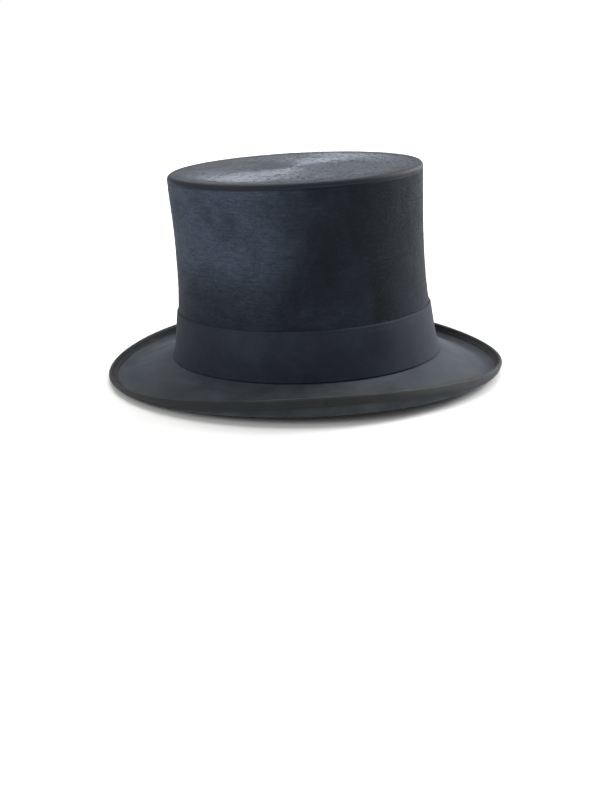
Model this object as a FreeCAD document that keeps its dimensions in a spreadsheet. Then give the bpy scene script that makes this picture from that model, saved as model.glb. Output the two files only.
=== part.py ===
"""Top hat with a waisted crown, a rolled oval brim, a broad band, a leather sweatband and a satin lining.

Millimetres, +Z up.  The hat stands on its brim: the origin is under the middle of the brim, +X is the
front of the hat, +Y is the wearer's left.  Each sub-part is one object whose Label is its node name.
"""
import FreeCAD, Part
import math
import os

App = FreeCAD
Vector = App.Vector

os.makedirs("parts", exist_ok=True)
doc = App.newDocument("TopHat")

# ---------------------------------------------------------------- driving dimensions

DIMENSIONS = {
    # crown, measured on the outside of the plush; every level is an oval of the same ratio
    "ovalRatio": 0.822,       # width over length of the crown ovals
    "baseLevel": 16.9,        # height of the joint between crown and brim
    "crownRise": 141.0,       # from that joint to the top of the tip
    "crownLean": 9.3,         # the worn crown leans back by this much at the tip
    "baseTilt": 0.7,          # degrees, front side up
    "tipTilt": 2.6,           # degrees, front side up
    # half length of the crown at each level, and the level as a share of crownRise
    "baseLength": 101.6,
    "collarLength": 99.8,
    "bandLength": 97.0,
    "sweatLength": 96.1,
    "waistLength": 94.4,
    "upperLength": 94.8,
    "tipLength": 95.6,
    "baseShare": 0.0,
    "collarShare": 0.10,
    "bandShare": 0.262,
    "sweatShare": 0.32,
    "waistShare": 0.60,
    "upperShare": 0.85,
    "tipShare": 1.0,
    # thickness of each layer
    "plushThick": 1.0,
    "shellThick": 1.6,
    "collarThick": 0.8,
    "leatherThick": 1.3,
    "satinThick": 0.5,
    "bandThick": 1.4,
    "bandFlare": 0.9,         # the band stands out by this much more at its lower edge
    "bowThick": 1.6,
    "knotThick": 1.4,
    "layerGap": 0.1,
    # brim
    "brimLength": 152.6,      # half length over the roll, without the binding
    "brimWidth": 127.2,       # half width over the roll, without the binding
    "boardThick": 1.4,
    "coverThick": 0.5,
    "bindingThick": 0.4,
    "bindingReach": 5.0,      # width of the binding on each face of the brim
    "rollEnds": 0.10,         # lowest level of the roll at front and back
    "rollSides": 4.9,         # lowest level of the roll at the sides
    "edgeFront": 8.4,         # level of the turned-up edge
    "edgeBack": 6.0,
    "edgeSides": 20.2,
    # reed at the foot of the sweatband, and the threads
    "reedHalf": 0.7,
    "reedTape": 0.5,
    "threadWidth": 0.6,
    "threadThick": 0.3,
    # trimmings
    "bowHalfLength": 34.0,
    "bowHalfHeight": 13.5,
    "knotHalfLength": 6.0,
    "knotHalfHeight": 15.0,
    "innerBowHalfLength": 13.0,
    "innerBowHalfHeight": 5.0,
    "ticketLength": 20.0,
    "ticketHeight": 14.0,
    "ticketThick": 0.3,
}

sheet = doc.addObject("Spreadsheet::Sheet", "Dims")
for row, (alias, size) in enumerate(DIMENSIONS.items(), start=1):
    sheet.set(f"A{row}", alias)
    sheet.set(f"B{row}", str(size))
    sheet.setAlias(f"B{row}", alias)
doc.recompute()


def size(alias):
    """One driving dimension, read back from the sheet."""
    return float(getattr(sheet, alias))


nodes = []


def keep(obj, name):
    """Register an object as a sub-part under its node name."""
    obj.Label = name
    nodes.append(obj)
    return obj


# ---------------------------------------------------------------- crown ovals

LEVELS = ["base", "collar", "band", "sweat", "waist", "upper", "tip"]


def oval(name, level, inset, lift="0"):
    """Ellipse of the crown at a named level, inset from the plush and lifted off that level."""
    ring = doc.addObject("Part::Ellipse", name)
    ring.Placement = App.Placement(Vector(), App.Rotation(Vector(0, -1, 0), 1))
    share = f"Dims.{level}Share"
    ring.setExpression("MajorRadius", f"Dims.{level}Length - ({inset})")
    ring.setExpression("MinorRadius", f"Dims.{level}Length * Dims.ovalRatio - ({inset})")
    ring.setExpression(".Placement.Base.x", f"-Dims.crownLean * {share}")
    ring.setExpression(".Placement.Base.z", f"Dims.baseLevel + Dims.crownRise * {share} + ({lift})")
    tilt = f"Dims.baseTilt + (Dims.tipTilt - Dims.baseTilt) * {share}"
    ring.setExpression(".Placement.Rotation.Angle", tilt)
    return ring


def loft(name, sections):
    """Solid through a stack of ovals."""
    body = doc.addObject("Part::Loft", name)
    body.Sections = sections
    body.Solid = True
    body.Ruled = False
    return body


def crown_solid(name, first, last, inset, foot="0", head="0", foot_flare="0"):
    """Solid oval column from one crown level to another."""
    levels = LEVELS[LEVELS.index(first):LEVELS.index(last) + 1]
    sections = []
    for level in levels:
        lift = "0"
        reach = inset
        if level == first:
            lift = foot
            reach = f"({inset}) - ({foot_flare})"
        if level == last:
            lift = head
        sections.append(oval(f"{name}_{level}", level, reach, lift))
    return loft(name, sections)


def crown_tube(name, first, last, outside, thick, foot="0", head="0", foot_flare="0"):
    """Hollow oval wall: an outer column with an inner column cut out of it, open at both ends."""
    outer = crown_solid(f"{name}_outer", first, last, outside, foot, head, foot_flare)
    inside = f"({outside}) + ({thick})"
    inner = crown_solid(f"{name}_inner", first, last, inside, f"({foot}) - 1", f"({head}) + 1", foot_flare)
    wall = doc.addObject("Part::Cut", name)
    wall.Base = outer
    wall.Tool = inner
    return wall


PLUSH = "Dims.plushThick"
SHELL = "Dims.shellThick"
GAP = "Dims.layerGap"
SHELL_INSET = f"{PLUSH} + {GAP}"
LINING_INSET = f"{PLUSH} + {SHELL} + 2 * {GAP}"
SWEAT_INSET = f"{LINING_INSET} + Dims.collarThick + Dims.satinThick + {GAP}"
BRIM_STACK = "2 * Dims.coverThick + Dims.boardThick"
BOARD_TOP = f"{GAP} - Dims.coverThick"

keep(crown_tube("side_plush", "base", "tip", "0", PLUSH, BOARD_TOP, f"-{PLUSH} - {GAP}"), "side_plush")
keep(crown_tube("crown_side_shell", "base", "tip", SHELL_INSET, SHELL, BOARD_TOP,
                f"-{PLUSH} - {SHELL} - 2 * {GAP}"), "crown_side_shell")
keep(crown_tube("side_lining", "sweat", "tip", LINING_INSET, "Dims.satinThick", "-8",
                f"-{PLUSH} - {SHELL} - Dims.satinThick - 3 * {GAP}"), "side_lining")


def tip_plate(name, inset, depth, thick, bevel):
    """Oval plate under the tip plane, with its upper rim bevelled."""
    low = oval(f"{name}_low", "tip", inset, f"-({depth}) - ({thick})")
    middle = oval(f"{name}_middle", "tip", inset, f"-({depth}) - ({bevel})")
    high = oval(f"{name}_high", "tip", f"({inset}) + ({bevel})", f"-({depth})")
    plate = loft(name, [low, middle, high])
    plate.Ruled = True
    return keep(plate, name)


tip_plate("tip_plush", "0", "0", PLUSH, "0.6 * Dims.plushThick")
tip_plate("crown_tip_shell", SHELL_INSET, f"{PLUSH} + {GAP}", SHELL, "0.3")
tip_plate("tip_lining", LINING_INSET, f"{PLUSH} + {SHELL} + 2 * {GAP}", "Dims.satinThick", "0.1")

# ---------------------------------------------------------------- band and bow on the wearer's left

keep(crown_tube("hat_band", "base", "band", f"-Dims.bandThick - {GAP}", "Dims.bandThick",
                f"2 * {GAP}", "0", "Dims.bandFlare"), "hat_band")


def prism(name, points, depth, turn=None):
    """Polygon in the XZ plane pushed along +Y, then turned about Z where a turn is given."""
    corners = [Vector(x, 0, z) for x, z in points]
    face = Part.Face(Part.makePolygon(corners + corners[:1]))
    solid = doc.addObject("Part::Feature", name)
    solid.Shape = face.extrude(Vector(0, depth, 0))
    if turn is not None:
        solid.Placement = App.Placement(Vector(), App.Rotation(Vector(0, 0, 1), turn))
    return solid


def shift(points, dx, dz):
    """The same outline moved in its own plane."""
    return [(x + dx, z + dz) for x, z in points]


def bow_outline(half_length, half_height, pinch):
    """Two flat loops that meet at a pinched middle."""
    return [
        (0.0, pinch),
        (half_length - 4.0, half_height),
        (half_length, half_height - 3.0),
        (half_length, 3.0 - half_height),
        (half_length - 4.0, -half_height),
        (0.0, -pinch),
        (4.0 - half_length, -half_height),
        (-half_length, 3.0 - half_height),
        (-half_length, half_height - 3.0),
        (4.0 - half_length, half_height),
    ]


def wrapped_piece(name, outline, outside, thick, first, last, turn=None):
    """Piece cut out of a thin wall of the crown by an outline, so that it follows the oval."""
    wall = crown_tube(f"{name}_wall", first, last, outside, thick)
    cutter = prism(f"{name}_cutter", outline, 200.0, turn)
    piece = doc.addObject("Part::Common", name)
    piece.Base = wall
    piece.Tool = cutter
    return keep(piece, name)


band_middle = size("baseLevel") + 0.5 * size("bandShare") * size("crownRise")
bow = bow_outline(size("bowHalfLength"), size("bowHalfHeight"), 0.75 * size("bowHalfHeight"))
bow_inset = f"-Dims.bandThick - 2 * {GAP} - Dims.bandFlare - Dims.bowThick"
wrapped_piece("band_bow_loops", shift(bow, -2.0, band_middle), bow_inset, "Dims.bowThick", "base", "sweat")

knot_length = size("knotHalfLength")
knot_height = size("knotHalfHeight")
knot = [(-knot_length, -knot_height), (knot_length, -knot_height), (knot_length, knot_height),
        (-knot_length, knot_height)]
wrapped_piece("band_bow_knot", shift(knot, -2.0, band_middle), f"{bow_inset} - {GAP} - Dims.knotThick",
              "Dims.knotThick", "base", "sweat")

# ---------------------------------------------------------------- sweatband and what sits at its foot

FOOT = f"-({BRIM_STACK})"
keep(crown_tube("brim_collar", "base", "collar", LINING_INSET, "Dims.collarThick", FOOT, "0"), "brim_collar")
keep(crown_tube("sweatband", "base", "sweat", SWEAT_INSET, "Dims.leatherThick",
                f"{FOOT} + 2 * Dims.reedHalf + 2 * Dims.reedTape", "0"), "sweatband")

inner_bow = bow_outline(size("innerBowHalfLength"), size("innerBowHalfHeight"), 1.6)
inner_bow_level = size("baseLevel") + 14.0
LEATHER_INSIDE = f"{SWEAT_INSET} + Dims.leatherThick + {GAP}"
wrapped_piece("sweatband_bow", shift(inner_bow, 0.0, inner_bow_level), LEATHER_INSIDE, "1.2",
              "base", "sweat", 90.0)

ticket = [(-0.5, -0.5), (0.5, -0.5), (0.5, 0.5), (-0.5, 0.5)]
ticket = [(x * size("ticketLength"), z * size("ticketHeight")) for x, z in ticket]
ticket_level = size("baseLevel") + size("sweatShare") * size("crownRise") + 2.0
wrapped_piece("size_ticket", shift(ticket, 0.0, ticket_level),
              f"{LINING_INSET} + Dims.satinThick + {GAP}", "Dims.ticketThick", "band", "waist", 90.0)

# ---------------------------------------------------------------- brim layers

RING_STEPS = 48               # stations round the brim
ACROSS_STEPS = 18             # stations from the head opening to the edge
BINDING_STEPS = 4             # stations along each side of the binding
CREST_STEPS = 5               # stations round the edge under the binding
THREAD_STEPS = 4              # stations across a reed or a line of thread
SECTORS = 6                   # each ring is made of this many faces round the hat
BOARD_END = 1.0               # the board stops this far short of the edge line
COVER_END = 0.4
TOP_COVER_START = 2.9         # the upper cover starts outside the plush of the crown


def brim_line(angle):
    """Middle line of the brim board at one angle, as a curve in (outward distance, height)."""
    ends = math.cos(angle) ** 2
    sides = math.sin(angle) ** 2
    inset = size("plushThick") + size("shellThick") + size("layerGap")
    inner_x = size("baseLength") - inset
    inner_y = size("baseLength") * size("ovalRatio") - inset
    span_x = size("brimLength") - inner_x
    span_y = size("brimWidth") - inner_y
    span = math.sqrt(ends * span_x ** 2 + sides * span_y ** 2)
    middle = size("coverThick") + 0.5 * size("boardThick")
    tilt = math.tan(math.radians(size("baseTilt")))
    start = size("baseLevel") + inner_x * math.cos(angle) * tilt - middle
    roll = size("rollEnds") * ends + size("rollSides") * sides + middle
    edge_mean = 0.5 * (size("edgeFront") + size("edgeBack"))
    edge_lean = 0.5 * (size("edgeFront") - size("edgeBack")) * math.cos(angle)
    edge = edge_mean * ends + size("edgeSides") * sides + edge_lean - middle - size("bindingThick")
    drop = start - roll
    climb = edge - roll
    poles = [
        Vector(0, start, 0),
        Vector(0.16 * span, start - 0.02 * drop, 0),
        Vector(0.40 * span, start - 0.42 * drop, 0),
        Vector(0.64 * span, roll + 0.20 * drop, 0),
        Vector(span - 12.0 * ends - 6.5 * sides, roll - 0.10 * climb - 0.7, 0),
        Vector(span - 3.4 * ends + 0.8 * sides, roll + 0.22 * climb, 0),
        Vector(span - 0.9 * ends + 0.2 * sides, roll + 0.62 * climb, 0),
        Vector(span - 1.2 * sides, edge, 0),
    ]
    line = Part.BSplineCurve()
    line.buildFromPolesMultsKnots(poles, [4, 1, 1, 1, 1, 4], [0, 1, 2, 3, 4, 5], False, 3)
    return line, inner_x, inner_y, span_x / span, span_y / span


def brim_point(angle, distance, offset):
    """Point at a distance along the middle line, from its inner end, or from the edge where negative."""
    line, inner_x, inner_y, scale_x, scale_y = brim_line(angle)
    if distance < 0:
        distance += line.length()
    place = line.parameterAtDistance(distance, 0.0)
    value = line.value(place)
    tangent = line.tangent(place)[0]
    out = value.x - offset * tangent.y
    level = value.y + offset * tangent.x
    x = (inner_x + scale_x * out) * math.cos(angle)
    y = (inner_y + scale_y * out) * math.sin(angle)
    return Vector(x, y, level)


def brim_distances(angle, first, last, count):
    """Even distances between two places on the middle line."""
    length = brim_line(angle)[0].length()
    near = first + length if first < 0 else first
    far = last + length if last <= 0 else last
    return [near + (far - near) * step / (count - 1) for step in range(count)]


def smoothed(points):
    """Poles of a closed cubic spline that runs through the given ring of points."""
    count = len(points)
    poles = []
    for index, point in enumerate(points):
        before = points[index - 1]
        after = points[(index + 1) % count]
        poles.append(point - (before - point * 2.0 + after) * (1.0 / 6.0))
    return poles


ANGLES = [2.0 * math.pi * step / RING_STEPS for step in range(RING_STEPS)]


def ring_surface(rows):
    """Spline surface round the brim; each row holds the points of one line from its start to its end."""
    columns = [smoothed([row[index] for row in rows]) for index in range(len(rows[0]))]
    poles = [list(ring) for ring in zip(*columns)]
    across = len(poles[0])
    round_knots = [float(knot) for knot in range(RING_STEPS + 1)]
    across_knots = [float(knot) for knot in range(across - 2)]
    across_mults = [4] + [1] * (across - 4) + [4]
    surface = Part.BSplineSurface()
    surface.buildFromPolesMultsKnots(poles, [1] * (RING_STEPS + 1), across_mults, round_knots, across_knots,
                                     True, False, 3, 3)
    return surface


def keep_shape(name, shape):
    """Document object for a shape made with Part's functions, placed at the hat's origin."""
    feature = doc.addObject("Part::Feature", name)
    feature.Shape = shape
    feature.Placement = App.Placement()
    return keep(feature, name)


def folded_ring(upper, lower):
    """Ring between two lines; upper(angle) and lower(angle) list points along the two faces."""
    surfaces = [ring_surface([side(angle) for angle in ANGLES]) for side in (upper, lower)]
    faces = []
    for sector in range(SECTORS):
        pieces = []
        for surface in surfaces:
            piece = surface.copy()
            low, high = surface.bounds()[2:]
            piece.segment(RING_STEPS * sector / SECTORS, RING_STEPS * (sector + 1) / SECTORS, low, high)
            pieces.append(piece)
            faces.append(Part.Face(piece))
        for end in (2, 3):
            rims = [piece.vIso(piece.bounds()[end]).toShape() for piece in pieces]
            faces.append(Part.makeRuledSurface(rims[0], rims[1]))
    shell = Part.Shell(faces)
    shell.sewShape()
    solid = Part.Solid(shell)
    if solid.Volume < 0:
        solid.reverse()
    return solid


def layer(first, last, low, high, count=ACROSS_STEPS):
    """Flat layer of the brim between two places on the middle line and two offsets from it."""

    def upper(angle):
        return [brim_point(angle, distance, high) for distance in brim_distances(angle, first, last, count)]

    def lower(angle):
        return [brim_point(angle, distance, low) for distance in brim_distances(angle, first, last, count)]

    return folded_ring(upper, lower)


half_board = 0.5 * size("boardThick")
gap = size("layerGap")
cover_low = half_board + gap
cover_high = half_board + size("coverThick")

keep_shape("brim_board", layer(0.0, -BOARD_END, -half_board, half_board))
keep_shape("brim_top_cover", layer(TOP_COVER_START, -COVER_END, cover_low, cover_high))
keep_shape("brim_under_cover", layer(0.0, -COVER_END, -cover_high, -cover_low))


def binding_line(reach):
    """Line that wraps the edge of the brim at a distance from the board's middle."""
    def points(angle):
        run = brim_distances(angle, -size("bindingReach"), 0.0, BINDING_STEPS)
        outer = [brim_point(angle, distance, -reach) for distance in run]
        inner = [brim_point(angle, distance, reach) for distance in reversed(run)]
        length = run[-1]
        centre = brim_point(angle, length, 0.0)
        normal = (inner[0] - outer[-1]) * 0.5
        ahead = centre - brim_point(angle, length - 0.2, 0.0)
        ahead.normalize()
        crest = []
        for step in range(1, CREST_STEPS + 1):
            turn = math.pi * step / (CREST_STEPS + 1)
            crest.append(centre - normal * math.cos(turn) + ahead * (reach * math.sin(turn)))
        return outer + crest + inner
    return points


binding_in = cover_high + gap
binding_out = binding_in + size("bindingThick")
keep_shape("brim_edge_binding", folded_ring(binding_line(binding_out), binding_line(binding_in)))

seam = size("bindingReach") - 1.2
thread_low = binding_out + 0.5 * gap
thread_high = thread_low + size("threadThick")
threads = [layer(-seam, -seam + size("threadWidth"), low, high, THREAD_STEPS)
           for low, high in ((thread_low, thread_high), (-thread_high, -thread_low))]
keep_shape("binding_stitching", Part.makeCompound(threads))

# ---------------------------------------------------------------- reed and stitching of the sweatband

brim_stack = 2.0 * size("coverThick") + size("boardThick")
reed_inset = (size("plushThick") + size("shellThick") + 3.0 * gap + size("collarThick") + size("satinThick")
              + 0.5 * size("leatherThick"))
reed_lift = size("reedHalf") + size("reedTape") - brim_stack


def head_point(angle, inset, lift):
    """Point round the head opening, inset from the plush and lifted from the crown's foot."""
    x = (size("baseLength") - inset) * math.cos(angle)
    y = (size("baseLength") * size("ovalRatio") - inset) * math.sin(angle)
    return Vector(x, y, size("baseLevel") + lift + x * math.tan(math.radians(size("baseTilt"))))


def crowned_line(half, side):
    """Upper (side 1) or lower (side -1) face of a flat oval cane of the given half size."""
    def points(angle):
        line = []
        for step in range(THREAD_STEPS):
            share = step / (THREAD_STEPS - 1)
            rise = half * (0.6 + 0.4 * math.sin(math.pi * share))
            line.append(head_point(angle, reed_inset + half * (2.0 * share - 1.0), reed_lift + side * rise))
        return line
    return points


def cane(half):
    """Flat oval cane bent round the head opening."""
    return folded_ring(crowned_line(half, 1), crowned_line(half, -1))


keep_shape("sweatband_reed", cane(size("reedHalf")))
keep_shape("reed_tape", cane(size("reedHalf") + size("reedTape")).cut(cane(size("reedHalf") + 0.5 * gap)))

seam_lift = reed_lift + size("reedHalf") + size("reedTape") + 2.0
seam_inset = reed_inset + 0.5 * size("leatherThick") + 0.5 * gap


def head_thread(inset):
    """Face of the line of thread that holds the leather, just inside it."""
    def points(angle):
        step = size("threadWidth") / (THREAD_STEPS - 1)
        return [head_point(angle, inset, seam_lift + step * index) for index in range(THREAD_STEPS)]
    return points


leather_thread = folded_ring(head_thread(seam_inset), head_thread(seam_inset + size("threadThick")))
keep_shape("sweatband_stitching", leather_thread)

# ---------------------------------------------------------------- check and write

doc.recompute()
for item in doc.Objects:
    if "Invalid" in item.State or "Error" in item.State:
        raise RuntimeError(f"{item.Name} did not compute: {item.State}")
for node in nodes:
    shape = node.Shape
    if shape.isNull() or not shape.isValid():
        raise RuntimeError(f"{node.Label} has a bad shape")
    box = shape.BoundBox
    print(f"{node.Label:20s} solids {len(shape.Solids)} volume {shape.Volume:9.0f} "
          f"x {box.XMin:7.1f} {box.XMax:6.1f} y {box.YMin:7.1f} {box.YMax:6.1f} "
          f"z {box.ZMin:6.2f} {box.ZMax:6.2f}")
for node in nodes:
    node.Shape.exportStep(f"parts/{node.Label}.step")
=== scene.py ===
import math

import bmesh
import bpy
import numpy as np
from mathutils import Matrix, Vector


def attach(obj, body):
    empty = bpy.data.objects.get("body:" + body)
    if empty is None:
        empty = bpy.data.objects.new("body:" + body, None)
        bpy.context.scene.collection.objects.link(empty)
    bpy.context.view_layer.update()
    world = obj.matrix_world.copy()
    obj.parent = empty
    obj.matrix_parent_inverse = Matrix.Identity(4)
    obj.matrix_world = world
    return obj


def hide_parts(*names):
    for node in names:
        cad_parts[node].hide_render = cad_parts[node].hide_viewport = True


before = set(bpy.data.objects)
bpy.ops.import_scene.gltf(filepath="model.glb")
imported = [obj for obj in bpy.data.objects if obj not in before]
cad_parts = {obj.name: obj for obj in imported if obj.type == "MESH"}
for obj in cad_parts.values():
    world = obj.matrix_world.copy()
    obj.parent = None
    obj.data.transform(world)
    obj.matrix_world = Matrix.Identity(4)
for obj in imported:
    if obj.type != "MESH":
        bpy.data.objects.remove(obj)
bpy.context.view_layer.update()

MM = 0.001
TAU = 2.0 * math.pi

# -------------------------------------------------------- the hat's dimensions, in metres and degrees

OVAL_RATIO = 0.822
BASE_LEVEL = 16.9 * MM
CROWN_RISE = 141.0 * MM
CROWN_LEAN = 9.3 * MM
BASE_TILT = 0.7
TIP_TILT = 2.6
SHARES = np.array([0.0, 0.10, 0.262, 0.32, 0.60, 0.85, 1.0])
HALF_LENGTHS = np.array([101.6, 99.8, 97.0, 96.1, 94.4, 94.8, 95.6]) * MM
BAND_SHARE = 0.262
SWEAT_SHARE = 0.32
PLUSH = 1.0 * MM
SHELL = 1.6 * MM
COLLAR = 0.8 * MM
SATIN = 0.5 * MM
LEATHER = 1.3 * MM
BAND = 1.4 * MM
BAND_FLARE = 1.9 * MM
GAP = 0.1 * MM
BOARD = 1.4 * MM
COVER = 0.5 * MM
BINDING = 0.4 * MM
BINDING_REACH = 5.0 * MM
BRIM_LENGTH = 152.6 * MM
BRIM_WIDTH = 127.2 * MM
ROLL_ENDS = 0.10 * MM
ROLL_SIDES = 4.9 * MM
EDGE_FRONT = 8.4 * MM
EDGE_BACK = 6.0 * MM
EDGE_SIDES = 20.2 * MM
REED = 0.7 * MM
REED_TAPE = 0.5 * MM
LINING_INSET = PLUSH + SHELL + 2 * GAP
SWEAT_INSET = LINING_INSET + COLLAR + SATIN + GAP

# ---------------------------------------------------------------- shapes shared by every piece


def angles_round(count):
    """Angles round the hat, from the front towards the wearer's left."""
    return np.linspace(0.0, TAU, count, endpoint=False)


def half_length(share):
    """Half length of the crown at a share of its rise, smooth through the named levels."""
    slopes = np.gradient(HALF_LENGTHS, SHARES)
    share = np.clip(share, -0.05, 1.0)
    index = np.clip(np.searchsorted(SHARES, share, side="right") - 1, 0, len(SHARES) - 2)
    width = SHARES[index + 1] - SHARES[index]
    part = (share - SHARES[index]) / width
    low = HALF_LENGTHS[index]
    high = HALF_LENGTHS[index + 1]
    start_slope = width * slopes[index]
    end_slope = width * slopes[index + 1]
    return ((2 * part ** 3 - 3 * part ** 2 + 1) * low + (part ** 3 - 2 * part ** 2 + part) * start_slope
            + (3 * part ** 2 - 2 * part ** 3) * high + (part ** 3 - part ** 2) * end_slope)


def crown_point(angle, share, inset=0.0, lift=0.0):
    """Points of the crown's ovals; all arguments broadcast together."""
    angle, share, inset, lift = np.broadcast_arrays(angle, share, inset, lift)
    length = half_length(share) - inset
    width = half_length(share) * OVAL_RATIO - inset
    tilt = np.radians(BASE_TILT + (TIP_TILT - BASE_TILT) * share)
    along = length * np.cos(angle)
    x = -CROWN_LEAN * share + along * np.cos(tilt)
    y = width * np.sin(angle)
    z = BASE_LEVEL + CROWN_RISE * share + lift + along * np.sin(tilt)
    return np.stack([x, y, z], axis=-1)


BRIM_KNOTS = np.array([0, 0, 0, 0, 1, 2, 3, 4, 5, 5, 5, 5], dtype=float)


def spline_basis(position, degree=3):
    """Values of the clamped spline's basis functions, one row for each position from 0 to 5."""
    position = np.clip(np.asarray(position, dtype=float), 0.0, 5.0 - 1e-9)
    basis = [((position >= low) & (position < high)).astype(float)
             for low, high in zip(BRIM_KNOTS[:-1], BRIM_KNOTS[1:])]
    for order in range(1, degree + 1):
        raised = []
        for index in range(len(basis) - 1):
            value = np.zeros_like(position)
            before = BRIM_KNOTS[index + order] - BRIM_KNOTS[index]
            after = BRIM_KNOTS[index + order + 1] - BRIM_KNOTS[index + 1]
            if before > 0:
                value = value + (position - BRIM_KNOTS[index]) / before * basis[index]
            if after > 0:
                value = value + (BRIM_KNOTS[index + order + 1] - position) / after * basis[index + 1]
            raised.append(value)
        basis = raised
    return np.stack(basis, axis=-1)


PATH_PLACES = np.linspace(0.0, 5.0, 241)
PATH_BASIS = spline_basis(PATH_PLACES)


def brim_poles(angle):
    """Poles of the board's middle line at each angle, as (outward distance, height), and the plan sizes."""
    ends = np.cos(angle) ** 2
    sides = np.sin(angle) ** 2
    inset = PLUSH + SHELL + GAP
    inner_x = HALF_LENGTHS[0] - inset
    inner_y = HALF_LENGTHS[0] * OVAL_RATIO - inset
    span_x = BRIM_LENGTH - inner_x
    span_y = BRIM_WIDTH - inner_y
    span = np.sqrt(ends * span_x ** 2 + sides * span_y ** 2)
    middle = COVER + 0.5 * BOARD
    start = BASE_LEVEL + inner_x * np.cos(angle) * math.tan(math.radians(BASE_TILT)) - middle
    roll = ROLL_ENDS * ends + ROLL_SIDES * sides + middle
    edge_lean = 0.5 * (EDGE_FRONT - EDGE_BACK) * np.cos(angle)
    edge = 0.5 * (EDGE_FRONT + EDGE_BACK) * ends + EDGE_SIDES * sides + edge_lean - middle - BINDING
    drop = start - roll
    climb = edge - roll
    out = np.stack([0 * span, 0.16 * span, 0.40 * span, 0.64 * span,
                    span - (12.0 * ends + 6.5 * sides) * MM,
                    span + (0.8 * sides - 3.4 * ends) * MM, span + (0.2 * sides - 0.9 * ends) * MM,
                    span - 1.2 * sides * MM], axis=-1)
    level = np.stack([start, start - 0.02 * drop, start - 0.42 * drop, roll + 0.20 * drop,
                      roll - 0.10 * climb - 0.7 * MM, roll + 0.22 * climb, roll + 0.62 * climb, edge],
                     axis=-1)
    return out, level, inner_x, inner_y, span_x / span, span_y / span


def brim_point(angle, distance, offset=0.0):
    """Points at distances along the middle line, from its inner end, or from the edge where negative."""
    angle, distance, offset = np.broadcast_arrays(angle, distance, offset)
    out, level, inner_x, inner_y, scale_x, scale_y = brim_poles(angle)
    path_out = out @ PATH_BASIS.T
    path_level = level @ PATH_BASIS.T
    steps = np.hypot(np.diff(path_out, axis=-1), np.diff(path_level, axis=-1))
    run = np.concatenate([np.zeros(angle.shape + (1,)), np.cumsum(steps, axis=-1)], axis=-1)
    length = run[..., -1]
    distance = np.where((distance < 0) | np.signbit(distance), distance + length, distance)
    index = np.clip((run < distance[..., None]).sum(-1) - 1, 0, len(PATH_PLACES) - 2)[..., None]
    low = np.take_along_axis(run, index, -1)[..., 0]
    high = np.take_along_axis(run, index + 1, -1)[..., 0]
    part = np.clip((distance - low) / np.maximum(high - low, 1e-9), 0.0, None)
    place = PATH_PLACES[index[..., 0]] + part * (PATH_PLACES[1] - PATH_PLACES[0])
    here = spline_basis(place)
    before = spline_basis(place - 0.01)
    after = spline_basis(place + 0.01)
    toward_out = ((after - before) * out).sum(-1)
    toward_up = ((after - before) * level).sum(-1)
    size = np.hypot(toward_out, toward_up)
    reach = (here * out).sum(-1) - offset * toward_up / size
    height = (here * level).sum(-1) + offset * toward_out / size
    x = (inner_x + scale_x * reach) * np.cos(angle)
    y = (inner_y + scale_y * reach) * np.sin(angle)
    return np.stack([x, y, height], axis=-1)


# ---------------------------------------------------------------- mesh building


def mesh_object(name, points, faces, uvs=None):
    """Object from points and faces, smooth shaded, with real-size texture coordinates where given."""
    mesh = bpy.data.meshes.new(name)
    mesh.from_pydata([tuple(point) for point in points], [], faces)
    mesh.polygons.foreach_set("use_smooth", [True] * len(mesh.polygons))
    if uvs is not None:
        layer = mesh.uv_layers.new(name="size")
        layer.data.foreach_set("uv", np.asarray(uvs, dtype=float).reshape(-1))
    mesh.validate()
    mesh.update()
    obj = bpy.data.objects.new(name, mesh)
    bpy.context.scene.collection.objects.link(obj)
    return obj


def ring_mesh(name, rows):
    """Closed ring: rows[across][round] of points, closed in both directions."""
    rows = np.asarray(rows)
    across, around, _ = rows.shape
    points = rows.reshape(-1, 3)
    along = np.linalg.norm(np.roll(rows, -1, axis=1) - rows, axis=-1).mean(0)
    along = np.concatenate([[0.0], np.cumsum(along)])
    over = np.linalg.norm(np.roll(rows, -1, axis=0) - rows, axis=-1).mean(1)
    over = np.concatenate([[0.0], np.cumsum(over)])
    faces = []
    uvs = []
    for i in range(across):
        j = (i + 1) % across
        for k in range(around):
            m = (k + 1) % around
            faces.append((i * around + k, i * around + m, j * around + m, j * around + k))
            uvs += [(along[k], over[i]), (along[k + 1], over[i]), (along[k + 1], over[i + 1]),
                    (along[k], over[i + 1])]
    obj = mesh_object(name, points, faces, uvs)
    fix_normals(obj)
    return obj


def disc_mesh(name, rows):
    """Closed disc: rows[across][round] from the middle of one face, over its rim, to that of the other."""
    rows = np.asarray(rows)
    across, around, _ = rows.shape
    points = [rows[0].mean(0)] + list(rows[1:-1].reshape(-1, 3)) + [rows[-1].mean(0)]
    last = len(points) - 1
    rings = across - 2
    faces = []
    for k in range(around):
        m = (k + 1) % around
        faces.append((0, 1 + k, 1 + m))
        faces.append((last, 1 + (rings - 1) * around + m, 1 + (rings - 1) * around + k))
        for i in range(rings - 1):
            low = 1 + i * around
            faces.append((low + k, low + around + k, low + around + m, low + m))
    obj = mesh_object(name, points, faces)
    fix_normals(obj)
    return obj


def fix_normals(obj):
    """Turn every face of a closed mesh outwards."""
    work = bmesh.new()
    work.from_mesh(obj.data)
    bmesh.ops.recalc_face_normals(work, faces=work.faces)
    work.to_mesh(obj.data)
    work.free()


def place(obj, material, slot, *nodes):
    """Give a piece its material, and let it stand for its CAD nodes on the hat; the slot is not used."""
    obj.data.materials.clear()
    obj.data.materials.append(material)
    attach(obj, "root")
    if nodes:
        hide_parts(*nodes)
    return obj


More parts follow.
